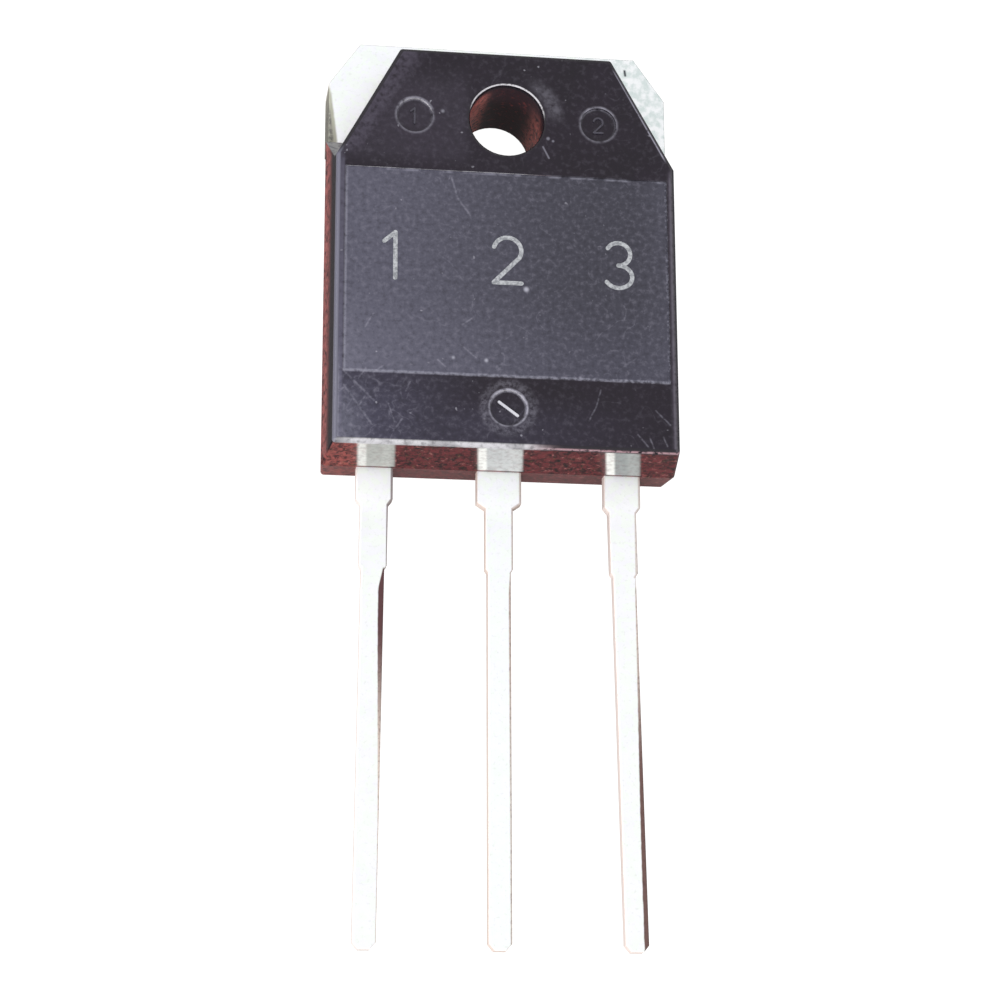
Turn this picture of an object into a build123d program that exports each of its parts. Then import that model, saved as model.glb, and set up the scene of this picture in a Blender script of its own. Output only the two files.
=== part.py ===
"""Power transistor in a flat three-lead moulded package with one screw hole.

The transistor lies on its back.  The origin is on the axis of the screw hole, in the plane
of the header's back face.  +Z leaves the front face, +Y points to the tab and the leads
point to -Y.  All lengths are in millimetres, all angles in degrees.
"""
from build123d import *
import os

os.makedirs("parts", exist_ok=True)

# ---- package outline -------------------------------------------------------------------
thickness = 4.8             # header back to the front of the moulding
header_thickness = 2.0      # the front cavity of the mould closes on the header's top
hole_to_tab_end = 4.6       # hole axis to the header's free end
hole_to_body_end = 15.4     # hole axis to the lead end of the moulding, at the parting plane
body_width = 15.6           # moulding at the parting plane
nose_setback = 1.1          # bare header beyond the moulding's edge on the tab
nose_width = 9.8            # straight edge of the moulding on the tab
flank_end = 1.85            # hole axis down to where the slanted flanks run into the sides
shoulder_drop = 0.3         # hole axis down to the foot of the shoulders
shoulder_height = 2.3       # a shoulder ramps up to this above the parting plane
shoulder_overlap = 0.15     # the top of the ramp inside the flank
front_draft = 6.5           # release angle of the front half
rear_draft = 4.0            # release angle of the rear half
rear_recess = 0.1           # the moulding stands back from the header's back face
corner_radius = 0.15        # upright corners
corner_zone = 0.5           # along Y, from an end, that holds its upright corners
front_edge_radius = 0.25

# ---- screw hole ------------------------------------------------------------------------
hole_radius = 1.65
hole_mouth_radius = 0.15    # rounding at the front of the hole
hole_lining = 0.85          # wall of moulding between the screw and the header

# ---- marks left by the mould -----------------------------------------------------------
panel_side_margin = 0.7     # matt panel for the marking, inside the parting plane
panel_top = 2.55            # hole axis down to the panel
panel_end_margin = 3.45     # panel to the lead end of the moulding
panel_depth = 0.04
pin_mark_radius = 0.8       # ejector pin marks, one each side of the hole and one below
pin_mark_spacing = 8.2
pin_mark_end_margin = 2.05  # lower mark to the lead end of the moulding
pin_mark_depth = 0.12

# ---- header ----------------------------------------------------------------------------
tab_inset = 0.1             # the moulding stands out beyond each side of the tab
tab_corner_width = 1.4      # corner cut, across and along
tab_corner_length = 2.0
tab_edge_radius = 0.1
side_cover = 0.8            # moulding outside each buried side of the header
lock_step = 0.4             # rebate that the moulding grips, across
lock_height = 0.8           # and up from the back face

# ---- leads -----------------------------------------------------------------------------
lead_pitch = 5.45
lead_thickness = 0.6
lead_length = 20.7          # beyond the moulding
outer_shoulder_width = 1.6
middle_shoulder_width = 1.95
shoulder_length = 1.4       # wide part of a lead outside the moulding
shoulder_taper = 0.25
upper_width = 1.2           # from the shoulder to the cut tie bar
upper_end = 4.35            # moulding to the cut tie bar
tie_bar_taper = 0.15
lead_width = 1.0
tip_cut_width = 0.25        # cropped corners of the tip
tip_cut_length = 0.3
lead_edge_radius = 0.08     # rolled-over front edges
base_lead_splay = 0.25      # outward drift of an outer tip
emitter_lead_splay = 0.35

# ---- inside the moulding ---------------------------------------------------------------
lead_cover = 1.2            # moulding over the neck of an outer lead
pad_width = 3.2             # bonding pad at the root of an outer lead
pad_length = 1.5
pad_gap = 0.5               # header plate to pad
die_side = 5.2
die_thickness = 0.35
die_drop = 7.2              # hole axis to the middle of the die
solder_margin = 0.15
solder_thickness = 0.05
base_wire_radius = 0.12
emitter_wire_radius = 0.2
wire_rise = 1.0             # top of a wire above the die
wire_heel = 0.15            # share of the span over which a wire climbs or drops
wire_landing = 1.3          # die edge to where its wires land
emitter_wire_spread = 1.1   # between the two emitter wires

# ---- derived places --------------------------------------------------------------------
parting_z = header_thickness
lead_bottom = header_thickness - lead_thickness
body_end_y = -hole_to_body_end
nose_y = hole_to_tab_end - nose_setback
shoulder_y = -shoulder_drop
flank_end_y = -flank_end
tab_width = body_width - 2 * tab_inset
header_width = body_width - 2 * side_cover
pad_bottom_y = body_end_y + lead_cover
pad_top_y = pad_bottom_y + pad_length
header_end_y = pad_top_y + pad_gap
panel_width = body_width - 2 * panel_side_margin
panel_height = hole_to_body_end - panel_end_margin - panel_top
panel_y = -panel_top - panel_height / 2
pin_mark_y = body_end_y + pin_mark_end_margin
die_bottom = header_thickness + solder_thickness
die_top = die_bottom + die_thickness
die_y = -die_drop


def lead_outline(x, shoulder, splay):
    """Half outlines of a lead from the moulding's end to its tip, right side then left.

    x is the middle of the root, shoulder its width there, and splay moves the tip along X.
    """
    taper_start = body_end_y - shoulder_length
    taper_end = taper_start - shoulder_taper
    tip_y = body_end_y - lead_length
    stations = [
        (body_end_y, shoulder),
        (taper_start, shoulder),
        (taper_end, upper_width),
        (body_end_y - upper_end, upper_width),
        (body_end_y - upper_end - tie_bar_taper, lead_width),
        (tip_y + tip_cut_length, lead_width),
        (tip_y, lead_width - 2 * tip_cut_width),
    ]

    def middle(y):
        drift = max(0.0, (taper_end - y) / (taper_end - tip_y))
        return x + splay * drift

    right = [(middle(y) + width / 2, y) for y, width in stations]
    left = [(middle(y) - width / 2, y) for y, width in stations]
    return right, left[::-1]


def outer_lead_outline(side, splay):
    """Closed outline of an outer lead with its bonding pad; side is -1 or 1."""
    x = side * lead_pitch
    right, left = lead_outline(x, outer_shoulder_width, side * splay)
    half_neck, half_pad = outer_shoulder_width / 2, pad_width / 2
    pad = [
        (x - half_neck, pad_bottom_y), (x - half_pad, pad_bottom_y),
        (x - half_pad, pad_top_y), (x + half_pad, pad_top_y),
        (x + half_pad, pad_bottom_y), (x + half_neck, pad_bottom_y),
    ]
    return pad + right + left


def middle_lead_outline():
    """Closed outline of the middle lead, from the end of the header plate."""
    right, left = lead_outline(0, middle_shoulder_width, 0)
    half_neck = middle_shoulder_width / 2
    return [(-half_neck, header_end_y), (half_neck, header_end_y)] + right + left


def plate_outline():
    """Closed outline of the header plate: the wide bare tab and the buried part."""
    half_tab = tab_width / 2
    left = [
        (-header_width / 2, header_end_y),
        (-header_width / 2, shoulder_y),
        (-half_tab, shoulder_y),
        (-half_tab, hole_to_tab_end - tab_corner_length),
        (-half_tab + tab_corner_width, hole_to_tab_end),
    ]
    return left + [(-x, y) for x, y in left[::-1]]


def front_outline():
    """Closed outline of the moulding's front half at the parting plane, anticlockwise."""
    half_width = body_width / 2
    right = [(half_width, body_end_y), (half_width, flank_end_y), (nose_width / 2, nose_y)]
    return right + [(-x, y) for x, y in right[::-1]]


def shoulder_profile():
    """Side view (y, z) of the ramped shoulders beside the flanks."""
    ramp_top_y = flank_end_y - shoulder_overlap
    ramp_top_z = parting_z + shoulder_height
    return [
        (shoulder_y, parting_z), (ramp_top_y, ramp_top_z),
        (ramp_top_y - shoulder_overlap, ramp_top_z), (ramp_top_y - shoulder_overlap, parting_z),
    ]


def front_edges(part):
    """Edges round the front face of a stamping."""
    return part.edges().group_by(Axis.Z)[-1]


def uprights(part, low, high):
    """Steep edges of part that lie between low and high along Y."""
    steep = part.edges().filter_by(lambda edge: abs((edge % 0.5).Z) > 0.9)
    return steep.filter_by_position(Axis.Y, low, high)


# ---- header and collector lead: one stamping of thick and thin strip ---------------------
with BuildPart() as collector_header:
    with BuildSketch(Plane.XY.offset(lead_bottom)):
        with BuildLine():
            Polyline(middle_lead_outline(), close=True)
        make_face()
    extrude(amount=lead_thickness)
    # the edge that joins the plate stays square
    fillet(front_edges(collector_header).sort_by(Axis.Y)[:-1], lead_edge_radius)
    with BuildSketch(Plane.XY):
        with BuildLine():
            Polyline(plate_outline(), close=True)
        make_face()
    extrude(amount=header_thickness)
    # rolled edges of the bare tab
    fillet(front_edges(collector_header).filter_by_position(Axis.Y, shoulder_y, hole_to_tab_end,
                                                            inclusive=(False, True)), tab_edge_radius)
    # rebate round the buried sides, which the moulding grips from behind
    grip_length = shoulder_y - header_end_y
    with BuildSketch(Plane.XY):
        with Locations((0, shoulder_y - grip_length / 2)):
            Rectangle(header_width, grip_length)
        with Locations((0, shoulder_y - (grip_length - lock_step) / 2)):
            Rectangle(header_width - 2 * lock_step, grip_length - lock_step, mode=Mode.SUBTRACT)
    extrude(amount=lock_height, mode=Mode.SUBTRACT)
    with Locations((0, 0, header_thickness)):
        Hole(radius=hole_radius + hole_lining)
collector_header.part.label = "collector_header"

# ---- outer leads -------------------------------------------------------------------------
with BuildPart() as base_lead:
    with BuildSketch(Plane.XY.offset(lead_bottom)):
        with BuildLine():
            Polyline(outer_lead_outline(-1, base_lead_splay), close=True)
        make_face()
    extrude(amount=lead_thickness)
    fillet(front_edges(base_lead), lead_edge_radius)
base_lead.part.label = "base_lead"

with BuildPart() as emitter_lead:
    with BuildSketch(Plane.XY.offset(lead_bottom)):
        with BuildLine():
            Polyline(outer_lead_outline(1, emitter_lead_splay), close=True)
        make_face()
    extrude(amount=lead_thickness)
    fillet(front_edges(emitter_lead), lead_edge_radius)
emitter_lead.part.label = "emitter_lead"

# ---- die and its solder --------------------------------------------------------------------
with BuildPart() as die_solder:
    with BuildSketch(Plane.XY.offset(header_thickness)):
        with Locations((0, die_y)):
            RectangleRounded(die_side + 2 * solder_margin, die_side + 2 * solder_margin, solder_margin)
    extrude(amount=solder_thickness)
die_solder.part.label = "die_solder"

with BuildPart() as silicon_die:
    with BuildSketch(Plane.XY.offset(die_bottom)):
        with Locations((0, die_y)):
            Rectangle(die_side, die_side)
    extrude(amount=die_thickness)
silicon_die.part.label = "silicon_die"


def bond_wire(start, end, radius, lead):
    """A wire looped from the die at start to a lead's pad at end, both (x, y).

    Its ends start a radius below their seats, so that the cut leaves a flush foot.
    """
    foot = Vector(start[0], start[1], die_top - radius)
    landing = Vector(end[0], end[1], header_thickness - radius)
    heel = foot + (landing - foot) * wire_heel
    toe = landing + (foot - landing) * wire_heel
    loop_z = die_top + wire_rise
    with BuildPart() as wire:
        with BuildLine():
            loop = Polyline(foot, (heel.X, heel.Y, loop_z), (toe.X, toe.Y, loop_z), landing)
        with BuildSketch(Plane(origin=loop @ 0, z_dir=loop % 0)):
            Circle(radius)
        sweep(transition=Transition.RIGHT)
        add(silicon_die.part, mode=Mode.SUBTRACT)
        add(lead.part, mode=Mode.SUBTRACT)
    return wire


# ---- bond wires ------------------------------------------------------------------------------
landing_y = die_y - die_side / 2 + wire_landing
pad_y = (pad_top_y + pad_bottom_y) / 2
base_wire_x = -die_side / 4
emitter_wire_x = die_side / 4

base_bond_wire = bond_wire((base_wire_x, landing_y), (-lead_pitch, pad_y),
                           base_wire_radius, base_lead)
base_bond_wire.part.label = "base_bond_wire"

half_spread = emitter_wire_spread / 2
emitter_bond_wire_1 = bond_wire((emitter_wire_x - half_spread, landing_y),
                                (lead_pitch - half_spread, pad_y),
                                emitter_wire_radius, emitter_lead)
emitter_bond_wire_1.part.label = "emitter_bond_wire_1"

emitter_bond_wire_2 = bond_wire((emitter_wire_x + half_spread, landing_y),
                                (lead_pitch + half_spread, pad_y),
                                emitter_wire_radius, emitter_lead)
emitter_bond_wire_2.part.label = "emitter_bond_wire_2"

buried = [collector_header, base_lead, emitter_lead, die_solder, silicon_die,
          base_bond_wire, emitter_bond_wire_1, emitter_bond_wire_2]

# ---- moulding --------------------------------------------------------------------------------
with BuildPart() as shoulders:
    with BuildSketch(Plane.XY.offset(parting_z)):
        with Locations((0, (shoulder_y + body_end_y) / 2)):
            Rectangle(body_width, shoulder_y - body_end_y)
    extrude(amount=thickness - parting_z, taper=front_draft)
    with BuildSketch(Plane.YZ):
        with BuildLine():
            Polyline(shoulder_profile(), close=True)
        make_face()
    extrude(amount=body_width / 2, both=True, mode=Mode.INTERSECT)

with BuildPart() as moulded_body:
    # rear half: three sides round the header plate, closed by the tab's ledges
    with BuildSketch(Plane.XY.offset(parting_z)):
        with Locations((0, (nose_y + body_end_y) / 2)):
            Rectangle(body_width, nose_y - body_end_y)
    extrude(amount=parting_z - rear_recess, dir=(0, 0, -1), taper=rear_draft)
    split(bisect_by=Plane.XZ.offset(shoulder_drop), keep=Keep.TOP)
    # front half
    with BuildSketch(Plane.XY.offset(parting_z)):
        with BuildLine():
            Polyline(front_outline(), close=True)
        make_face()
    extrude(amount=thickness - parting_z, taper=front_draft)
    add(shoulders.part)
    fillet(uprights(moulded_body, body_end_y, body_end_y + corner_zone), corner_radius)
    fillet(uprights(moulded_body, nose_y - corner_zone, nose_y), corner_radius)
    front = moulded_body.faces().sort_by(Axis.Z)[-1]
    fillet(front.outer_wire().edges(), front_edge_radius)
    # screw hole, lined through the header
    with BuildSketch(Plane.XY.offset(rear_recess)):
        Circle(hole_radius + hole_lining)
    extrude(amount=parting_z - rear_recess)
    with Locations((0, 0, thickness)):
        Hole(radius=hole_radius)
    mouth = moulded_body.faces().sort_by(Axis.Z)[-1].inner_wires()
    fillet(mouth.edges(), hole_mouth_radius)
    # marking panel and ejector pin marks
    with BuildSketch(Plane.XY.offset(thickness)):
        with Locations((0, panel_y)):
            Rectangle(panel_width, panel_height)
    extrude(amount=-panel_depth, mode=Mode.SUBTRACT)
    with BuildSketch(Plane.XY.offset(thickness)):
        with Locations((-pin_mark_spacing / 2, 0), (pin_mark_spacing / 2, 0), (0, pin_mark_y)):
            Circle(pin_mark_radius)
    extrude(amount=-pin_mark_depth, mode=Mode.SUBTRACT)
    # exact seats of everything that is moulded in
    for piece in buried:
        add(piece.part, mode=Mode.SUBTRACT)
moulded_body.part.label = "moulded_body"

for piece in buried + [moulded_body]:
    export_step(piece.part, f"parts/{piece.part.label}.step")
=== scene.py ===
"""Looks of a power transistor in a flat three-lead moulded package with one screw hole.

The frame: origin on the screw hole's axis in the header's back face, +Z out of the front
face, +Y to the tab, leads to -Y.  Blender works in metres.  Sizes and places are in mm here,
except those of the floor and the lamps.
"""
import math
import random

import bmesh
import bpy
from mathutils import Matrix, Vector


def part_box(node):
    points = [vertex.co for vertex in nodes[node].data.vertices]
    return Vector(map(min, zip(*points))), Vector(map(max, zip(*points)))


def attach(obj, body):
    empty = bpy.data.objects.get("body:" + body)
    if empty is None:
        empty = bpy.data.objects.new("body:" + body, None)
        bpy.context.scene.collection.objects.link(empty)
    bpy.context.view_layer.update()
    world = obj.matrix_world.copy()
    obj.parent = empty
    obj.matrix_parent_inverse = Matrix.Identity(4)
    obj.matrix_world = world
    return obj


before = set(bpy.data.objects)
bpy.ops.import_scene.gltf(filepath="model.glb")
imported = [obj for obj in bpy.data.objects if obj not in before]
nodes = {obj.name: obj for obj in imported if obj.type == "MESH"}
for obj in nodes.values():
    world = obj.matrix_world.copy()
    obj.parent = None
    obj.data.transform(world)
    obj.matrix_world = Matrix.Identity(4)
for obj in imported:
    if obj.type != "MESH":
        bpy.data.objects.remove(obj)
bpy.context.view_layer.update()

MM = 0.001
body_low, body_high = (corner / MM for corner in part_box("moulded_body"))
header_low, header_high = (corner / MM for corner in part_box("collector_header"))
lead_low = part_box("base_lead")[0] / MM

FRONT_Z = body_high.z
PARTING_Z = header_high.z
BODY_END_Y = body_low.y
HEADER_LEFT_X = header_low.x
LEAD_TIP_Y = lead_low.y
LEAD_PITCH = 5.45

# places on the front face, as in the CAD
PANEL_HALF_WIDTH = 7.1
PANEL_TOP_Y = -2.55
PANEL_BOTTOM_Y = BODY_END_Y + 3.45
PANEL_DEPTH = 0.04
PANEL_Z = FRONT_Z - PANEL_DEPTH
FLANK_TOP = (4.62, 3.2)             # the right flank's ends on the flat of the front face
FLANK_END = (7.28, -1.78)
EDGE_RADIUS = 0.25
HOLE_CENTRE = (0, 0)
HOLE_RADIUS = 1.65
HOLE_MOUTH = 0.15
PIN_MARK_RADIUS = 0.8
PIN_MARK_DEPTH = 0.12
PIN_MARK_FLOOR_Z = FRONT_Z - PIN_MARK_DEPTH
PIN_MARKS = [(-4.1, 0.0), (4.1, 0.0), (0.0, BODY_END_Y + 2.05)]


def srgb(red, green, blue):
    """Linear colour of an 8-bit display colour."""
    def linear(value):
        value /= 255
        return value / 12.92 if value <= 0.04045 else ((value + 0.055) / 1.055) ** 2.4
    return (linear(red), linear(green), linear(blue), 1.0)


class Shader:
    """A Principled material, and short calls that add nodes to it."""

    def __init__(self, name):
        self.material = bpy.data.materials.new(name)
        self.material.use_nodes = True
        self.tree = self.material.node_tree
        self.out = self.tree.nodes["Principled BSDF"]
        coords = self.tree.nodes.new("ShaderNodeTexCoord")
        self.pos = self.vector("SCALE", coords.outputs["Object"], scale=1 / MM)
        self.x, self.y, self.z = self.split(self.pos)
        self.flat = self.vector("MULTIPLY", self.pos, (1, 1, 0))
        geometry = self.tree.nodes.new("ShaderNodeNewGeometry")
        self.nx, self.ny, self.nz = self.split(geometry.outputs["Normal"])

    def link(self, value, socket):
        """Feed a socket, or set its own number or colour."""
        if isinstance(value, bpy.types.NodeSocket):
            self.tree.links.new(value, socket)
        else:
            socket.default_value = value

    def split(self, vector):
        node = self.tree.nodes.new("ShaderNodeSeparateXYZ")
        self.link(vector, node.inputs[0])
        return node.outputs

    def vector(self, operation, first, second=None, scale=None):
        node = self.tree.nodes.new("ShaderNodeVectorMath")
        node.operation = operation
        self.link(first, node.inputs[0])
        if second is not None:
            self.link(second, node.inputs[1])
        if scale is not None:
            self.link(scale, node.inputs["Scale"])
        return node.outputs["Value" if operation in ("DISTANCE", "DOT_PRODUCT") else "Vector"]

    def math(self, operation, first, second=None, clamp=False):
        node = self.tree.nodes.new("ShaderNodeMath")
        node.operation = operation
        node.use_clamp = clamp
        self.link(first, node.inputs[0])
        if second is not None:
            self.link(second, node.inputs[1])
        return node.outputs[0]

    def times(self, *factors):
        product = factors[0]
        for factor in factors[1:]:
            product = self.math("MULTIPLY", product, factor)
        return product

    def most(self, *values):
        top = values[0]
        for value in values[1:]:
            top = self.math("MAXIMUM", top, value)
        return top

    def without(self, value):
        return self.math("SUBTRACT", 1.0, value)

    def step(self, value, low, high):
        """0 at low, 1 at high and smooth between; low may lie above high."""
        node = self.tree.nodes.new("ShaderNodeMapRange")
        node.interpolation_type = "SMOOTHSTEP"
        turned = low > high
        self.link(value, node.inputs["Value"])
        node.inputs["From Min"].default_value = high if turned else low
        node.inputs["From Max"].default_value = low if turned else high
        node.inputs["To Min"].default_value = 1.0 if turned else 0.0
        node.inputs["To Max"].default_value = 0.0 if turned else 1.0
        return node.outputs[0]

    def within(self, value, low, high, soft=0.02):
        """1 between low and high."""
        return self.times(self.step(value, low - soft, low + soft),
                          self.step(value, high + soft, high - soft))

    def noise(self, scale, detail=3.0, roughness=0.5, stretch=None, warp=0.0):
        """Noise with cells about 1/scale mm across, stretched along the axes if asked."""
        node = self.tree.nodes.new("ShaderNodeTexNoise")
        place = self.pos if stretch is None else self.vector("MULTIPLY", self.pos, stretch)
        self.link(place, node.inputs["Vector"])
        node.inputs["Scale"].default_value = scale
        node.inputs["Detail"].default_value = detail
        node.inputs["Roughness"].default_value = roughness
        node.inputs["Distortion"].default_value = warp
        return node.outputs["Fac"]

    def threads(self, scale, warp, outer, inner):
        """Thin curly lines, where a noise crosses its middle value."""
        level = self.math("SUBTRACT", self.noise(scale, detail=1.0, warp=warp), 0.5)
        return self.step(self.math("ABSOLUTE", level), outer, inner)

    def mix(self, share, first, second):
        """Colour between first and second."""
        node = self.tree.nodes.new("ShaderNodeMix")
        node.data_type = "RGBA"
        self.link(share, node.inputs[0])
        self.link(first, node.inputs[6])
        self.link(second, node.inputs[7])
        return node.outputs[2]

    def blend(self, share, first, second):
        """Number between first and second."""
        node = self.tree.nodes.new("ShaderNodeMix")
        self.link(share, node.inputs[0])
        self.link(first, node.inputs[2])
        self.link(second, node.inputs[3])
        return node.outputs[0]

    def layers(self, colour, *layers):
        """Lay colours over a first one in turn, each with its mask and its strength."""
        for mask, strength, tone in layers:
            colour = self.mix(self.times(mask, strength), colour, tone)
        return colour

    def away(self, point):
        """Distance in plan from a point on the front face."""
        return self.vector("DISTANCE", self.flat, (point[0], point[1], 0))

    def ring(self, centre, inner, outer, soft):
        return self.within(self.away(centre), inner, outer, soft)

    def spot(self, centre, radius, soft):
        return self.step(self.away(centre), radius + soft, radius - soft)

    def stroke(self, start, end, width, soft=0.025):
        """1 near the line from start to end on the front face."""
        run = Vector((end[0] - start[0], end[1] - start[1], 0))
        rel = self.vector("SUBTRACT", self.flat, (start[0], start[1], 0))
        along = self.vector("DOT_PRODUCT", rel, tuple(run / run.length_squared))
        along = self.math("ADD", along, 0.0, clamp=True)
        near = self.vector("SCALE", tuple(run), scale=along)
        gap = self.vector("DISTANCE", rel, near)
        return self.step(gap, width / 2 + soft, max(0.0, width / 2 - soft))

    def beyond(self, start, end):
        """Distance in plan from the line from start to end, positive on its right."""
        run = Vector((end[0] - start[0], end[1] - start[1]))
        out = Vector((run.y, -run.x)).normalized()
        rel = self.vector("SUBTRACT", self.flat, (start[0], start[1], 0))
        return self.vector("DOT_PRODUCT", rel, (out.x, out.y, 0))

    def bump(self, height, strength, distance):
        """Raise the surface by height times distance, in mm."""
        node = self.tree.nodes.new("ShaderNodeBump")
        node.inputs["Strength"].default_value = strength
        node.inputs["Distance"].default_value = distance * MM
        self.link(height, node.inputs["Height"])
        self.link(node.outputs[0], self.out.inputs["Normal"])

    def set(self, colour, roughness, metallic=0.0, specular=0.5):
        self.link(colour, self.out.inputs["Base Color"])
        self.link(roughness, self.out.inputs["Roughness"])
        self.link(metallic, self.out.inputs["Metallic"])
        self.link(specular, self.out.inputs["Specular IOR Level"])


def clothe(node_name, material):
    """The CAD node wears only this material."""
    for slot in nodes[node_name].material_slots:
        slot.material = material


# ---- moulding: front face ------------------------------------------------------------------
# pale tone of the scratches, and of the painted highlight on the right flank's crest
SCUFF_AND_HIGHLIGHT = srgb(176, 174, 190)
SCRATCHES = (                       # soft scratches: start, end, width, soft edge
    ((-7.24, -11.83), (-5.77, -13.25), 0.04, 0.06),
    ((-7.06, -12.63), (-5.85, -14.32), 0.04, 0.06),
    ((4.04, -12.38), (3.85, -13.1), 0.02, 0.05),
    ((3.85, -13.1), (3.5, -13.8), 0.02, 0.05),
    ((-2.45, -2.89), (-2.2, -3.8), 0.03, 0.06),
    ((-2.2, -3.8), (-1.65, -4.58), 0.03, 0.06),
)
CHIPS = (                           # bright chips: place, radius, soft edge
    ((1.83, -0.79), 0.07, 0.05),
    ((2.05, -0.9), 0.05, 0.04),
    ((7.38, -11.42), 0.06, 0.05),
    ((3.15, -11.84), 0.05, 0.06),
)
SPECKS = (                          # pale specks: place, radius, soft edge, strength
    ((0.82, -7.91), 0.10, 0.08, 1.0),
    ((-2.37, -11.17), 0.05, 0.08, 0.8),
    ((-0.94, -11.24), 0.06, 0.08, 1.0),
    ((-2.86, 0.25), 0.06, 0.07, 0.5),
)


def random_strokes(s, count, low, high, lengths, turns, seed):
    """Thin straight scratches at random places between two corners of the front face."""
    dice = random.Random(seed)
    found = []
    for _ in range(count):
        x, y = dice.uniform(low[0], high[0]), dice.uniform(low[1], high[1])
        length = dice.uniform(*lengths)
        turn = math.radians(dice.choice(turns) + dice.uniform(-15, 15))
        end = (x + length * math.cos(turn), y + length * math.sin(turn))
        found.append(s.stroke((x, y), end, 0.03, 0.05))
    return s.most(*found)


def rim_colour(s, grain, cloud, low_left):
    """Glossy rim round the panel: nearly black, greyer by the left flank and low on the left, with
    painted highlights along its left edge and a painted shadow line beside the panel on the right.
    """
    rim = s.mix(cloud, srgb(10, 3, 14), srgb(30, 20, 36))
    left_flank = s.beyond((-FLANK_END[0], FLANK_END[1]), (-FLANK_TOP[0], FLANK_TOP[1]))
    left_of_hole = s.times(s.step(s.x, -1.4, -2.1), s.step(s.y, 2.8, 1.0), 0.4)
    by_flank = s.times(s.step(left_flank, 1.3, 0.3), s.step(s.y, -2.4, -1.4),
                       s.step(grain, 0.2, 0.55))
    nose = s.times(s.most(left_of_hole, by_flank), s.step(s.y, -2.6, -1.6))
    # painted highlight along the left edge beside the panel, stronger towards the leads
    left_strip = s.times(s.step(s.x, 7.6, -7.6), s.step(s.y, 1.0, -15.0), s.step(s.x, -7.05, -7.2))
    corner = s.times(s.step(s.x, -5.6, -7.2), s.step(s.y, -11.8, -14.4))
    # beside the panel: a painted shadow line and a paler edge on the right, painted highlights on
    # the left
    side = PANEL_HALF_WIDTH
    below_flanks = s.step(s.y, -1.8, -2.6)
    right = s.times(s.step(s.x, side, side + 0.1), below_flanks)
    right_line = s.times(s.within(s.x, side, side + 0.08, 0.03), below_flanks)
    right_edge = s.times(s.step(s.x, side + 0.1, side + 0.17), below_flanks)
    left = s.times(s.step(s.x, -side, -side - 0.1), below_flanks)
    left_edge = s.times(s.within(s.x, -side - 0.4, -side - 0.17, 0.05), s.step(s.y, -10.5, -12.5))
    return s.layers(rim,
                    (nose, 0.8, srgb(64, 58, 72)),
                    (s.most(left_strip, low_left), 1.0, srgb(62, 60, 78)),
                    (corner, 0.5, srgb(104, 104, 118)),
                    (right, 0.7, srgb(60, 53, 66)),
                    (right_line, 0.7, srgb(32, 28, 36)),
                    (right_edge, 0.42, srgb(112, 108, 118)),
                    (left, 0.4, srgb(104, 101, 120)),
                    (left_edge, 0.55, srgb(126, 126, 140)))


def panel_colour(s):
    """Matt panel with painted light: paler to the left and darker at the right; also paler towards
    the leads.
    """
    upper = s.mix(s.step(s.x, 4.5, -8.4), srgb(55, 54, 65), srgb(82, 81, 96))
    lower = s.mix(s.step(s.x, 6.0, -8.0), srgb(70, 69, 84), srgb(96, 95, 111))
    lower = s.mix(s.times(s.step(s.x, -6.0, -7.0), 0.6), lower, srgb(116, 115, 131))
    return s.layers(upper,
                    (s.step(s.y, -7.5, -11.8), 0.5, lower),
                    (s.step(s.x, 5.4, 7.0), 0.4, srgb(72, 71, 84)))


def panel_border(s, grain, fine):
    """Mask of the panel's worn border: whole on the left, broken below, in dots elsewhere."""
    side, top, bottom = PANEL_HALF_WIDTH, PANEL_TOP_Y, PANEL_BOTTOM_Y
    beside = s.within(s.y, bottom, top)
    between = s.step(s.math("ABSOLUTE", s.x), side + 0.05, side)
    left = s.times(s.within(s.x, -side - 0.02, -side + 0.09, 0.05), beside, 0.6)
    in_gaps = s.blend(s.step(s.x, 7.6, -7.6), 0.3, 0.9)
    below = s.times(s.within(s.y, bottom - 0.03, bottom + 0.09, 0.05), between,
                    s.blend(s.step(grain, 0.42, 0.6), in_gaps, 1.0))
    right = s.times(s.within(s.x, side - 0.07, side + 0.02, 0.05), beside,
                    s.step(fine, 0.46, 0.66), 0.6)
    above = s.times(s.within(s.y, top - 0.1, top, 0.05), between,
                    s.step(s.noise(1.4), 0.46, 0.62), 0.6)
    return s.most(s.times(s.most(left, below), s.step(grain, 0.2, 0.55)), right, above)


def scratch_mask(s, grain, in_panel, low_left):
    """Mask of the wear: hairlines all over, a web low on the left, scratches and chips."""
    hair = s.times(s.threads(0.55, 0.3, 0.007, 0.001), s.step(s.noise(0.7), 0.48, 0.62),
                   s.blend(s.most(in_panel, low_left), 0.2, 0.45))
    web = s.times(s.threads(1.1, 0.5, 0.025, 0.003), s.step(s.x, -2.5, -5.0),
                  s.step(s.y, -11.9, -12.3), 0.42)
    soft = s.most(
        hair, web,
        random_strokes(s, 6, (-7.3, -15.0), (-3.6, -12.3), (0.3, 0.9), (-50, -65, 60), seed=3),
        random_strokes(s, 5, (-7.0, -12.0), (-2.0, -9.0), (0.3, 0.9), (-40, 50), seed=21),
        random_strokes(s, 4, (5.2, -15.0), (7.2, -12.6), (0.4, 1.0), (-55, -40), seed=5),
        *(s.stroke(*scratch) for scratch in SCRATCHES))
    sharp = s.most(s.stroke((1.6, -1.2), (1.86, -1.72), 0.05, 0.04),
                   *(s.spot(*chip) for chip in CHIPS))
    return s.most(s.times(soft, s.step(grain, 0.3, 0.6), 0.55), sharp)


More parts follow.
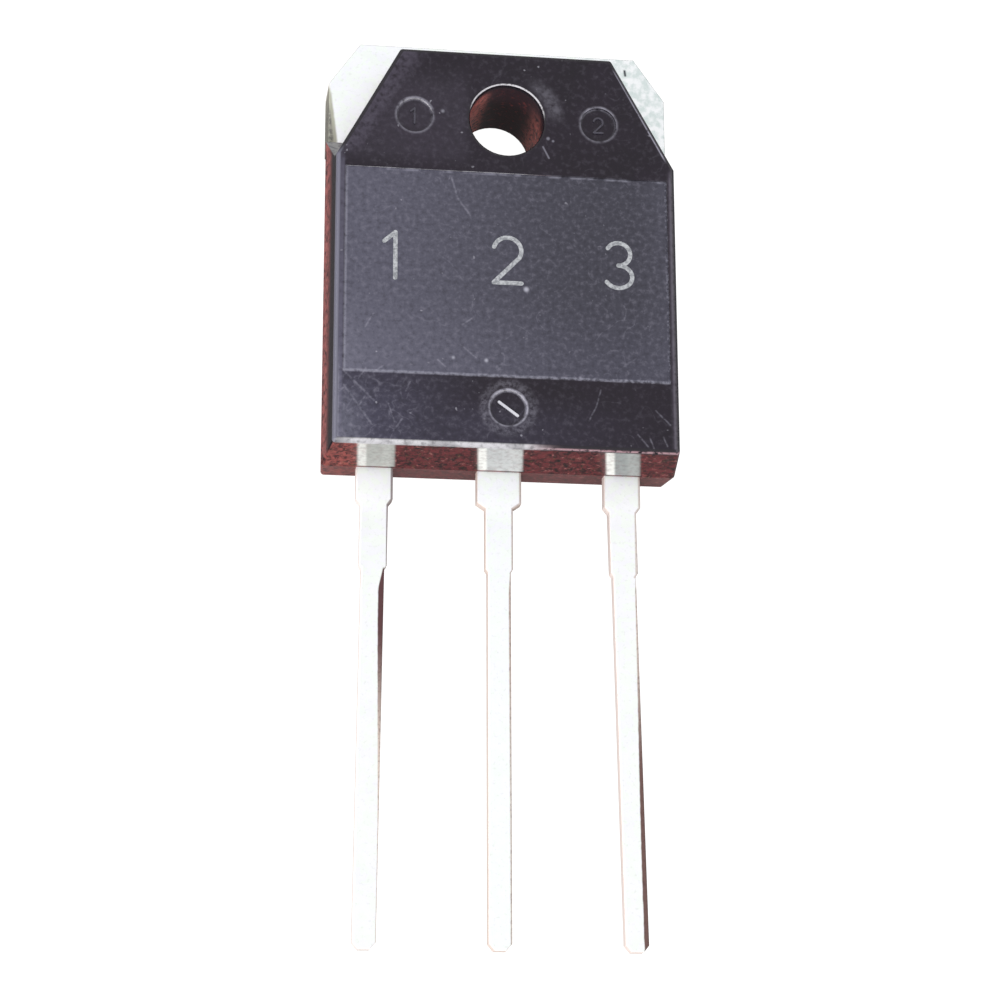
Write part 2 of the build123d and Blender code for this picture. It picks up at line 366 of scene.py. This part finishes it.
def pin_rings_and_highlights(s, grain, fine):
    """Mask of the rings that the ejector pins left, painted brighter on their upper sides as a
    highlight, and of a rubbed place beside the hole.
    """
    inner, outer = PIN_MARK_RADIUS - 0.04, PIN_MARK_RADIUS + 0.07
    *upper_marks, lower_mark = PIN_MARKS
    # the upper rings are brighter on top, and the lower ring on its upper right: a painted highlight
    upper = s.times(s.most(*(s.ring(mark, inner, outer, 0.07) for mark in upper_marks)),
                    s.blend(s.step(s.y, 0.1, 0.75), 0.28, 0.6))
    slant = s.math("ADD", s.y, s.times(s.x, 0.7))
    lower = s.times(s.ring(lower_mark, inner, outer, 0.06),
                    s.blend(s.step(slant, -14.1, -12.7), 0.4, 0.9))
    halo = s.times(s.ring(lower_mark, PIN_MARK_RADIUS + 0.1, PIN_MARK_RADIUS + 0.45, 0.15),
                   s.step(fine, 0.3, 0.6), 0.16)
    by_hole = s.times(s.ring(HOLE_CENTRE, HOLE_RADIUS + 0.25, HOLE_RADIUS + 0.85, 0.2), 0.14,
                      s.step(s.x, 0.6, 1.4), s.step(s.y, -0.2, 0.6), s.step(s.y, 2.4, 1.2))
    return s.times(s.most(upper, lower, halo, by_hole), s.step(grain, 0.2, 0.6))


def front_colour(s, grain, fine, cloud, in_panel):
    """The front face: glossy rim, matt panel with its worn border, scratches and dust."""
    low_left = s.most(s.times(s.step(s.x, 0.5, -8.0), s.step(s.y, -9.5, -14.0)),
                      s.times(s.step(s.x, 8.0, -3.0), s.step(s.y, -12.4, -14.2), 0.42))
    face = s.mix(in_panel, rim_colour(s, grain, cloud, low_left), panel_colour(s))
    pale_grain = s.blend(in_panel, s.blend(low_left, 0.05, 0.16), 0.14)
    dark_grain = s.blend(in_panel, 0.32, 0.3)
    # painted highlight: a pale line along the crest of the right flank
    right_flank = s.beyond(FLANK_TOP, FLANK_END)
    crest = s.times(s.within(right_flank, 0.0, 0.1, 0.04), s.within(s.y, -1.5, 2.6, 0.2),
                    s.step(grain, 0.25, 0.5))
    dust = s.times(s.step(s.noise(3.6, detail=1.0), 0.73, 0.8), s.step(s.noise(0.8), 0.45, 0.6))
    specks = s.most(*(s.times(s.spot(place, radius, soft), strength)
                      for place, radius, soft, strength in SPECKS))
    return s.layers(face,
                    (s.step(grain, 0.48, 0.72), pale_grain, srgb(160, 156, 172)),
                    (s.step(grain, 0.5, 0.3), dark_grain, srgb(16, 12, 20)),
                    (panel_border(s, grain, fine), 0.5, srgb(176, 175, 192)),
                    (crest, 0.85, SCUFF_AND_HIGHLIGHT),
                    (scratch_mask(s, grain, in_panel, low_left), 0.34, SCUFF_AND_HIGHLIGHT),
                    (pin_rings_and_highlights(s, grain, fine), 1.0, srgb(170, 168, 182)),
                    (dust, 0.35, srgb(190, 188, 200)),
                    (specks, 0.68, srgb(190, 190, 204)))


def edge_colour(s, face, grain):
    """Rounded edges of the front face: painted highlights, pale towards the leads, grey at the
    sides.
    """
    curved = s.step(s.nz, 0.985, 0.93)
    below_flanks = s.step(s.y, FLANK_END[1] + 0.3, FLANK_END[1] - 0.3)
    # painted highlights on the rounded edges that face left and, fainter, right
    to_left = s.times(curved, s.step(s.nx, -0.05, -0.5), below_flanks)
    to_right = s.times(s.within(s.nx, 0.12, 0.5, 0.08), curved, below_flanks,
                       s.step(grain, 0.3, 0.6))
    edge = s.layers(face,
                    (curved, 0.9, srgb(28, 24, 31)),
                    (to_left, 0.85, srgb(114, 113, 129)),
                    (to_right, 0.38, srgb(112, 106, 114)))
    # painted highlight on the end edge: thick and white on the left, thin and pinkish on the right
    right_half = s.step(s.x, 0.5, 2.5)
    patches = s.step(s.noise(0.9, detail=2.0), 0.42, 0.56)
    thick = s.times(s.step(s.ny, -0.1, -0.6), s.step(s.x, -7.8, -6.9),
                    s.blend(patches, 0.65, 1.0), s.blend(s.step(grain, 0.25, 0.56), 0.45, 1.0))
    thin = s.times(s.within(s.nz, 0.2, 0.62, 0.12), s.step(grain, 0.34, 0.54), 0.75)
    # painted highlight: the hole's mouth has a thin pale lip where it looks to the leads
    mouth = s.step(s.away(HOLE_CENTRE), HOLE_RADIUS + 0.5, HOLE_RADIUS + 0.3)
    towards = s.math("ADD", s.ny, s.times(s.nx, 0.15))
    lip = s.times(s.within(s.nz, 0.62, 0.92, 0.05), s.step(towards, -0.02, -0.22),
                  s.step(grain, 0.3, 0.5))
    # the mask below is the painted highlight on the edges and the lip that face the leads
    worn = s.blend(mouth, s.blend(right_half, thick, thin), lip)
    to_leads = s.times(curved, worn, s.step(s.ny, -0.02, -0.3))
    highlight_tone = s.mix(s.times(right_half, s.without(mouth)), srgb(208, 206, 211), srgb(196, 158, 166))
    return s.mix(s.times(to_leads, 0.9), edge, highlight_tone)


# ---- moulding: walls and hole --------------------------------------------------------------
REFLECTIONS = (                     # lead's column, width, middle tone, bright strip's strength
    (-1, 1.6, srgb(170, 173, 168), 0.7),
    (0, 1.95, srgb(196, 199, 199), 1.0),
    (1, 1.5, srgb(146, 152, 151), 1.0),
)


def lead_reflections(s, wall, grain, end_wall):
    """Painted reflections of the leads on the end wall above them, each with a bright strip on its
    left; the wall also mirrors the leads faintly.
    """
    for column, width, middle, brightness in REFLECTIONS:
        lean = 0.14 + 0.05 * column
        x = s.math("ADD", s.x, s.times(s.math("SUBTRACT", s.z, PARTING_Z), lean))
        left = column * LEAD_PITCH - width / 2 + 0.05
        right = left + width
        patch = s.times(s.within(x, left, right, 0.08), end_wall,
                        s.step(s.z, PARTING_Z + 0.05, PARTING_Z + 0.2))
        bright = s.most(s.times(s.step(x, left + 0.45, left + 0.3), brightness),
                        s.times(s.step(x, right - 0.65, right - 0.45), 0.12))
        tone = s.mix(bright, middle, srgb(246, 247, 242))
        wall = s.mix(s.times(patch, s.blend(s.step(grain, 0.3, 0.6), 0.66, 0.94)), wall, tone)
    return wall


def bore_colour(s, grain, fine, cloud, mottle):
    """Screw hole: almost black, with painted reddish glints at the left and low on the right."""
    bore = s.mix(cloud, srgb(34, 18, 27), srgb(62, 40, 48))
    flecks = s.times(s.step(grain, 0.56, 0.66), s.step(s.z, 4.6, 3.6))
    glint = s.most(s.times(s.step(s.x, -0.45, -1.15), s.step(s.z, 4.6, 3.8), 0.85),
                   s.times(s.step(s.x, 0.45, 1.1), s.step(s.y, 1.3, 0.3), s.step(s.z, 4.5, 2.6)))
    patchy = s.times(s.step(mottle, 0.34, 0.54), s.blend(s.step(fine, 0.38, 0.52), 0.4, 1.0))
    return s.layers(bore,
                    (flecks, 0.5, srgb(150, 72, 70)),
                    (glint, patchy, srgb(250, 148, 138)))


def wall_colour(s, grain, fine, cloud):
    """Walls: mottled red-brown, a painted reflection of a red surface on the dark epoxy, with a
    ragged dark band under the front except at the end.
    """
    mottle = s.noise(3.4, detail=5.0, roughness=0.75, warp=0.5)
    to_left = s.step(s.nx, -0.5, -0.8)
    end_wall = s.step(s.ny, -0.6, -0.9)
    # the red, pale red and salmon tones are a painted reflection of a red surface; the lighter tone
    # below the parting line is painted light where the wall faces down
    red = s.mix(s.step(mottle, 0.38, 0.6), srgb(26, 4, 8), srgb(104, 39, 43))
    pale_red = s.mix(s.step(mottle, 0.4, 0.58), srgb(70, 30, 32), srgb(176, 92, 84))
    salmon = s.mix(s.step(mottle, 0.36, 0.58), srgb(44, 14, 20), srgb(160, 90, 88))
    red = s.layers(red,
                   (s.step(s.x, -5.6, -6.6), 0.6, pale_red),
                   (to_left, 0.85, salmon),
                   (s.step(s.z, PARTING_Z + 0.02, PARTING_Z - 0.02), 0.15, srgb(180, 100, 96)),
                   (s.step(grain, 0.58, 0.7), 0.6, srgb(180, 116, 112)),
                   (s.step(fine, 0.6, 0.7), 0.5, srgb(104, 92, 58)))
    dark = s.mix(cloud, srgb(16, 8, 18), srgb(42, 32, 46))
    left_dark = s.mix(s.step(fine, 0.45, 0.62), srgb(7, 3, 9), srgb(40, 34, 40))
    dark = s.mix(s.times(to_left, 0.8), dark, left_dark)
    ragged = s.math("ADD", s.z, s.math("ADD", s.times(mottle, 1.1), s.times(fine, 0.4)))
    dark_band = s.times(s.step(ragged, PARTING_Z + 1.55, PARTING_Z + 2.6), s.without(end_wall))
    # the shoulders' ramps are dark too, but the left one is painted pale as a highlight
    ramp = s.within(s.nz, 0.25, 0.97)
    ramp_highlight = s.mix(s.step(grain, 0.3, 0.6), srgb(116, 115, 122), srgb(170, 172, 172))
    wall = s.layers(red,
                    (s.most(dark_band, ramp), 1.0, dark),
                    (s.times(ramp, s.step(s.x, -5.0, -6.0)), 0.85, ramp_highlight))
    wall = lead_reflections(s, wall, grain, end_wall)
    in_hole = s.step(s.away(HOLE_CENTRE), HOLE_RADIUS + HOLE_MOUTH, HOLE_RADIUS + 0.1)
    return s.mix(in_hole, wall, bore_colour(s, grain, fine, cloud, mottle))


EPOXY_SPECULAR = 0.3


def moulding_material():
    """Epoxy.  Its side walls hardly shine, or they would mirror the white studio as a veil."""
    s = Shader("moulding_epoxy")
    grain = s.noise(4.2, detail=4.0, roughness=0.62)
    fine = s.noise(7.0, detail=3.0, roughness=0.6)
    cloud = s.noise(0.5, detail=3.0)
    across = s.math("ABSOLUTE", s.x)
    in_panel = s.times(s.step(across, PANEL_HALF_WIDTH + 0.02, PANEL_HALF_WIDTH - 0.02),
                       s.within(s.y, PANEL_BOTTOM_Y, PANEL_TOP_Y))
    near_front = s.step(s.z, FRONT_Z - EDGE_RADIUS - 0.06, FRONT_Z - EDGE_RADIUS)
    below_front = s.without(near_front)
    front = s.times(s.step(s.nz, 0.90, 0.985), near_front)
    ramp = s.times(s.within(s.nz, 0.25, 0.97), below_front)
    sideways = s.times(s.step(s.math("ABSOLUTE", s.nx), 0.5, 0.8), below_front,
                       s.step(s.away(HOLE_CENTRE), HOLE_RADIUS, HOLE_RADIUS + 0.5))
    face = front_colour(s, grain, fine, cloud, in_panel)
    s.set(s.mix(near_front, wall_colour(s, grain, fine, cloud), edge_colour(s, face, grain)),
          roughness=s.blend(front, s.blend(ramp, 0.28, 0.9), s.blend(in_panel, 0.30, 0.55)),
          specular=EPOXY_SPECULAR)
    s.link(s.blend(sideways, EPOXY_SPECULAR, 0.04), s.out.inputs["Specular IOR Level"])
    s.bump(s.math("ADD", s.times(grain, 1.5), fine), 0.3, 0.015)
    return s.material


clothe("moulded_body", moulding_material())


# ---- metal -------------------------------------------------------------------------------
LEAD_WIDTH = 1.0
NECK_WIDTH = 1.2
SHOULDER_END_Y = BODY_END_Y - 1.4
SHOULDER_TAPER = 0.25
NECK_END_Y = BODY_END_Y - 4.4
NECK_TAPER = 0.15
LEADS = {                           # side, tip's drift, shoulder, painted shadow band's width above and below
    "base": (-1, 0.25, 1.6, 0.24, 0.03),
    "collector": (0, 0.0, 1.95, 0.10, 0.08),
    "emitter": (1, 0.35, 1.6, 0.10, 0.22),
}
# colours of the painted shadow band along the leads
SHADOW_BAND_COLOURS = {                   # above and below
    "base": (srgb(84, 52, 54), srgb(206, 190, 180)),
    "collector": (srgb(176, 158, 150), srgb(190, 180, 172)),
    "emitter": (srgb(190, 174, 166), srgb(100, 74, 70)),
}


def lead_shadow_band(s, side, drift, shoulder, upper, lower):
    """Painted shadow along the right-hand edge of a lead: a line down to the neck, then a band."""
    edge = side * LEAD_PITCH + LEAD_WIDTH / 2
    neck_edge = side * LEAD_PITCH + NECK_WIDTH / 2
    shoulder_edge = side * LEAD_PITCH + shoulder / 2
    root = s.times(s.step(s.x, shoulder_edge - 0.13, shoulder_edge - 0.08),
                   s.step(s.y, SHOULDER_END_Y - 0.05, SHOULDER_END_Y + 0.02))
    taper = s.stroke((shoulder_edge - 0.05, SHOULDER_END_Y),
                     (neck_edge - 0.03, SHOULDER_END_Y - SHOULDER_TAPER), 0.1)
    neck = s.times(s.step(s.x, neck_edge - 0.10, neck_edge - 0.06),
                   s.within(s.y, NECK_END_Y - 0.03, SHOULDER_END_Y - SHOULDER_TAPER, 0.05))
    neck_end = s.stroke((neck_edge - 0.03, NECK_END_Y), (edge - 0.02, NECK_END_Y - NECK_TAPER), 0.08)
    line = s.times(s.most(root, taper, neck, neck_end), 0.75)
    # the band starts narrow, and its width runs from upper to lower along the lead
    inside = s.beyond((edge, BODY_END_Y), (edge + side * drift, LEAD_TIP_Y))
    width = s.blend(s.step(s.y, NECK_END_Y, LEAD_TIP_Y + 3), upper, lower)
    width = s.math("ADD", width, s.times(s.noise(5.0, stretch=(1, 0.5, 1)), 0.05))
    width = s.blend(s.step(s.y, NECK_END_Y + 0.2, NECK_END_Y - 1.2), 0.06, width)
    band = s.times(s.step(s.math("SUBTRACT", width, inside), 0.0, 0.05),
                   s.step(s.y, NECK_END_Y, NECK_END_Y - NECK_TAPER))
    return s.times(s.most(band, line), s.within(s.x, edge - 0.9, edge + 0.6))


def metal_shader(name):
    """A shader, with the two noises that all the plated metal shares."""
    s = Shader(name)
    cloud = s.noise(0.9, detail=4.0, roughness=0.6, warp=0.3)
    fine = s.noise(6.0, detail=3.0, roughness=0.6)
    return s, cloud, fine


def metal_colour(s, lead, shadow_band, light, shade, side_reflection, cloud, fine):
    """Plating with faint green and blue tints, a painted pinkish reflection on its sides and the
    painted shadow band; also the sides' mask.
    """
    side = s.step(s.math("ABSOLUTE", s.nz), 0.85, 0.4)
    plating = s.mix(s.step(cloud, 0.4, 0.75), light, shade)
    tint = s.mix(s.step(s.noise(2.6, detail=2.0), 0.45, 0.55),
                 srgb(232, 244, 236), srgb(236, 238, 250))
    # the painted shadow band's colour runs from above to below along the lead
    brown = s.mix(s.step(s.y, NECK_END_Y - 2.5, NECK_END_Y - 9.0), *SHADOW_BAND_COLOURS[lead])
    brown = s.mix(s.times(s.step(fine, 0.5, 0.36), 0.4), brown, srgb(70, 44, 42))
    return s.layers(s.mix(0.35, plating, tint),
                    (s.step(fine, 0.56, 0.7), 0.3, srgb(214, 218, 214)),
                    (side, 1.0, side_reflection),
                    (shadow_band, 1.0, brown)), side


def finish_metal(s, colour, cloud, fine, roughest, dull):
    """Less metallic where the surface is dull, which takes in the painted shadow band, and where a
    lead leaves the moulding.
    """
    root = s.within(s.y, BODY_END_Y - 2.0, BODY_END_Y, 0.6)
    metallic = s.times(s.without(dull), s.blend(root, 1.0, 0.2))
    s.set(colour, s.blend(cloud, 0.36, roughest), metallic=metallic, specular=0.3)
    s.bump(s.math("ADD", fine, s.times(cloud, 2.0)), 0.25, 0.015)
    return s.material


def lead_material(name, lead, side_reflection):
    s, cloud, fine = metal_shader(name)
    shadow_band = s.times(lead_shadow_band(s, *LEADS[lead]), s.step(s.z, PARTING_Z - 0.7, PARTING_Z - 0.5))
    colour, side = metal_colour(s, lead, shadow_band, srgb(252, 252, 251), srgb(247, 247, 247), side_reflection,
                                cloud, fine)
    return finish_metal(s, colour, cloud, fine, 0.5, s.most(shadow_band, side))


def header_material():
    """Plated header: painted shade greys its right wing, and a dark strip, almost black, runs along
    its left flank.
    """
    s, cloud, fine = metal_shader("plated_copper")
    shadow_band = s.times(lead_shadow_band(s, *LEADS["collector"]), s.step(s.y, -14.0, -15.0))
    # painted pinkish reflection on the sides, pinker on the collector lead
    side_reflection = s.mix(s.step(s.y, -14.0, -13.0), srgb(244, 226, 216), srgb(246, 240, 234))
    colour, side = metal_colour(s, "collector", shadow_band, srgb(253, 254, 254), srgb(248, 250, 250),
                                side_reflection, cloud, fine)
    # painted shade: the right wing is greyer than the left
    right_wing = s.times(s.step(s.x, 3.5, 4.5), s.step(s.y, -5.0, -4.0), s.step(s.nz, 0.3, 0.8))
    shaded_wing = s.mix(s.step(s.noise(3.0, detail=4.0), 0.36, 0.64),
                   srgb(212, 222, 221), srgb(242, 244, 246))
    # the left flank's dark strip is widest at the moulding and runs out towards the tab's corner
    reach = s.math("ADD", s.x, s.times(s.step(s.y, 3.4, -0.9), -0.42))
    ragged = s.math("ADD", s.math("SUBTRACT", HEADER_LEFT_X, reach), s.times(s.noise(2.0), 0.1))
    strip = s.times(s.step(ragged, -0.02, 0.1), s.step(s.y, 2.7, 2.2))
    core = s.times(s.step(ragged, 0.14, 0.26), s.blend(s.step(fine, 0.62, 0.4), 0.45, 0.95))
    olive = s.mix(s.step(s.nz, 0.8, 0.4), srgb(168, 169, 150), srgb(118, 116, 100))
    flank_dark = s.mix(core, olive, srgb(66, 62, 54))
    nick = s.stroke((5.87, 4.0), (5.9, 3.78), 0.09, 0.05)
    colour = s.layers(colour,
                      (right_wing, 1.0, shaded_wing),
                      (strip, 0.9, flank_dark),
                      (nick, 1.0, srgb(50, 52, 60)))
    return finish_metal(s, colour, cloud, fine, 0.52, s.most(shadow_band, strip, side))


clothe("collector_header", header_material())
clothe("base_lead", lead_material("tinned_base_lead", "base", srgb(252, 242, 237)))
clothe("emitter_lead", lead_material("tinned_emitter_lead", "emitter", srgb(250, 234, 227)))


# ---- buried pieces -------------------------------------------------------------------------
def buried_material(name, light, dark, roughness):
    s = Shader(name)
    tone = s.noise(3.0)
    s.set(s.mix(tone, light, dark), s.blend(tone, roughness, roughness + 0.15), metallic=1.0)
    return s.material


clothe("silicon_die", buried_material("silicon", srgb(92, 94, 108), srgb(70, 70, 84), 0.15))
clothe("die_solder", buried_material("solder", srgb(190, 190, 192), srgb(160, 160, 164), 0.35))
wire_metal = buried_material("bond_wire", srgb(226, 227, 230), srgb(200, 202, 206), 0.25)
for name in ("base_bond_wire", "emitter_bond_wire_1", "emitter_bond_wire_2"):
    clothe(name, wire_metal)


# ---- small raised and printed pieces ---------------------------------------------------------
CAP_STEPS = 8
STROKE_LEVELS = 6                   # strokes that cross stand at different heights,
STROKE_DROP = 0.08                  # each lower than the last by this share of the thickness


def ribbon(mesh, line, width, low_z, high_z):
    """Adds a flat stroke with round ends along a line, standing from low_z to high_z."""
    points = [Vector(p) for p in line]
    sides = []
    for i in range(len(points)):
        ahead = (points[min(i + 1, len(points) - 1)] - points[max(i - 1, 0)]).normalized()
        sides.append(Vector((-ahead.y, ahead.x)) * width / 2)

    def cap(middle, side, turn_back):
        turns = [math.pi * (k / CAP_STEPS + turn_back) for k in range(1, CAP_STEPS)]
        return [middle + Matrix.Rotation(-t, 2) @ side for t in turns]

    outline = [p + d for p, d in zip(points, sides)] + cap(points[-1], sides[-1], 0)
    outline += [p - d for p, d in zip(points[::-1], sides[::-1])] + cap(points[0], sides[0], 1)
    bottom = [mesh.verts.new((p.x * MM, p.y * MM, low_z * MM)) for p in outline]
    top = [mesh.verts.new((p.x * MM, p.y * MM, high_z * MM)) for p in outline]
    mesh.faces.new(top[::-1])
    mesh.faces.new(bottom)
    for i in range(len(outline)):
        j = (i + 1) % len(outline)
        mesh.faces.new((top[i], top[j], bottom[j], bottom[i]))


def marking(name, lines, width, low_z, thick, material):
    """A piece made of flat strokes."""
    mesh = bmesh.new()
    for order, line in enumerate(lines):
        level = 1 - STROKE_DROP * (order % STROKE_LEVELS)
        ribbon(mesh, line, width, low_z, low_z + thick * level)
    bmesh.ops.recalc_face_normals(mesh, faces=mesh.faces)
    data = bpy.data.meshes.new(name)
    mesh.to_mesh(data)
    mesh.free()
    data.materials.append(material)
    piece = bpy.data.objects.new(name, data)
    bpy.context.scene.collection.objects.link(piece)
    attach(piece, "root")


def arc(centre, radius_x, radius_y, start, end, steps=16):
    """Points on an ellipse, angles in degrees."""
    turns = [math.radians(start + (end - start) * k / steps) for k in range(steps + 1)]
    return [(centre[0] + radius_x * math.cos(t), centre[1] + radius_y * math.sin(t)) for t in turns]


def digit_lines(digit, x, y, height):
    """Centre lines of a plain 1, 2 or 3 whose middle is at (x, y)."""
    half, wide = height / 2, height * 0.29
    if digit == 1:
        return [[(x, y + half), (x, y - half)],
                [(x - wide * 0.8, y + half - wide * 0.7), (x, y + half)]]
    if digit == 2:
        return [arc((x, y + half - wide), wide, wide, 165, -30),
                [(x + wide * 0.87, y + half - wide * 1.5), (x - wide, y - half)],
                [(x - wide, y - half), (x + wide, y - half)]]
    return [arc((x, y + half * 0.5), wide * 0.88, half * 0.5, 150, -90),
            arc((x, y - half * 0.5), wide, half * 0.5, 90, -150)]


def ink_material():
    s = Shader("marking_ink")
    worn = s.noise(7.0, detail=4.0, roughness=0.7)
    s.set(s.mix(s.step(worn, 0.38, 0.62), srgb(132, 134, 139), srgb(180, 182, 186)), 0.6,
          specular=0.25)
    s.bump(worn, 0.3, 0.01)
    return s.material


def raised_material(name, dark, light):
    s = Shader(name)
    s.set(s.mix(s.noise(5.0), dark, light), 0.35, specular=0.4)
    return s.material


# lead numbers on the panel, a little nearer to each other than the leads
NUMBER_PITCH = LEAD_PITCH * 0.9
NUMBER_Y = -6.6
NUMBER_HEIGHT = 2.1
numbers = []
for digit, column in ((1, -1), (2, 0), (3, 1)):
    numbers += digit_lines(digit, column * NUMBER_PITCH, NUMBER_Y, NUMBER_HEIGHT)
marking("lead_numbers", numbers, 0.19, PANEL_Z, 0.012, ink_material())

# plain mould numbers in the upper pin marks, a slanted bar in the lower one
left_mark, right_mark, lower_mark = PIN_MARKS
grey = raised_material("raised_number", srgb(34, 30, 40), srgb(78, 75, 88))
white = raised_material("raised_bar", srgb(170, 170, 180), srgb(226, 226, 232))
for name, digit, mark in (("mould_number_left", 1, left_mark),
                          ("mould_number_right", 2, right_mark)):
    marking(name, digit_lines(digit, *mark, 0.7), 0.08, PIN_MARK_FLOOR_Z, 0.06, grey)
bar = [(lower_mark[0] - 0.39, lower_mark[1] + 0.27), (lower_mark[0] + 0.42, lower_mark[1] - 0.32)]
marking("mould_bar", [bar], 0.11, PIN_MARK_FLOOR_Z, 0.07, white)


# ---- floor, light and camera ---------------------------------------------------------------
scene = bpy.context.scene
FLOOR_HALF = 2.0
FLOOR_GLOW = 0.12                   # what the part gets from the floor; the camera sees it white
STUDIO_LIGHT = 1.05
floor_mesh = bpy.data.meshes.new("floor")
floor_mesh.from_pydata([(-FLOOR_HALF, -FLOOR_HALF, 0), (FLOOR_HALF, -FLOOR_HALF, 0),
                        (FLOOR_HALF, FLOOR_HALF, 0), (-FLOOR_HALF, FLOOR_HALF, 0)],
                       [], [(0, 1, 2, 3)])
floor = bpy.data.objects.new("floor", floor_mesh)
scene.collection.objects.link(floor)
paper = Shader("floor_paper")
paper.set((0.2, 0.2, 0.2, 1), 0.9, specular=0.0)
paper.out.inputs["Emission Color"].default_value = (1, 1, 1, 1)
seen = paper.tree.nodes.new("ShaderNodeLightPath").outputs["Is Camera Ray"]
paper.link(paper.blend(seen, FLOOR_GLOW, 1.0), paper.out.inputs["Emission Strength"])
floor_mesh.materials.append(paper.material)

scene.view_settings.view_transform = "Standard"
world = bpy.data.worlds.new("studio")
world.use_nodes = True
world.node_tree.nodes["Background"].inputs["Color"].default_value = (1, 1, 1, 1)
world.node_tree.nodes["Background"].inputs["Strength"].default_value = STUDIO_LIGHT
scene.world = world


def area_light(name, place, target, size, power):
    data = bpy.data.lights.new(name, "AREA")
    data.shape = "RECTANGLE"
    data.size, data.size_y = size
    data.energy = power
    lamp = bpy.data.objects.new(name, data)
    scene.collection.objects.link(lamp)
    lamp.location = place
    lamp.rotation_euler = (Vector(target) - Vector(place)).to_track_quat("-Z", "Y").to_euler()


# low lamp beyond the leads: it catches the edges that face it
area_light("key", (-0.10, -0.42, 0.24), (0, -0.01, 0), (0.10, 0.08), 0.7)
# soft lamp low on the left: it lifts the sides that face left
area_light("left_fill", (-0.45, -0.04, 0.05), (0, -0.02, 0), (0.40, 0.08), 0.7)

# the photograph's viewpoint, with the camera's turns about X, Y and Z in radians
CAMERA_PLACE = Vector((-15.5057, -47.3779, 110.3376)) * MM
CAMERA_TURNS = (0.2762, -0.1371, 0.0355)
camera_data = bpy.data.cameras.new("camera")
camera_data.sensor_width = 36.0
camera_data.lens = 94.085
camera_data.clip_start = 0.005
camera = bpy.data.objects.new("camera", camera_data)
scene.collection.objects.link(camera)
viewpoint = Matrix.Translation(CAMERA_PLACE)
for angle, axis in zip(CAMERA_TURNS, "XYZ"):
    viewpoint = viewpoint @ Matrix.Rotation(angle, 4, axis)
camera.matrix_world = viewpoint
scene.camera = camera
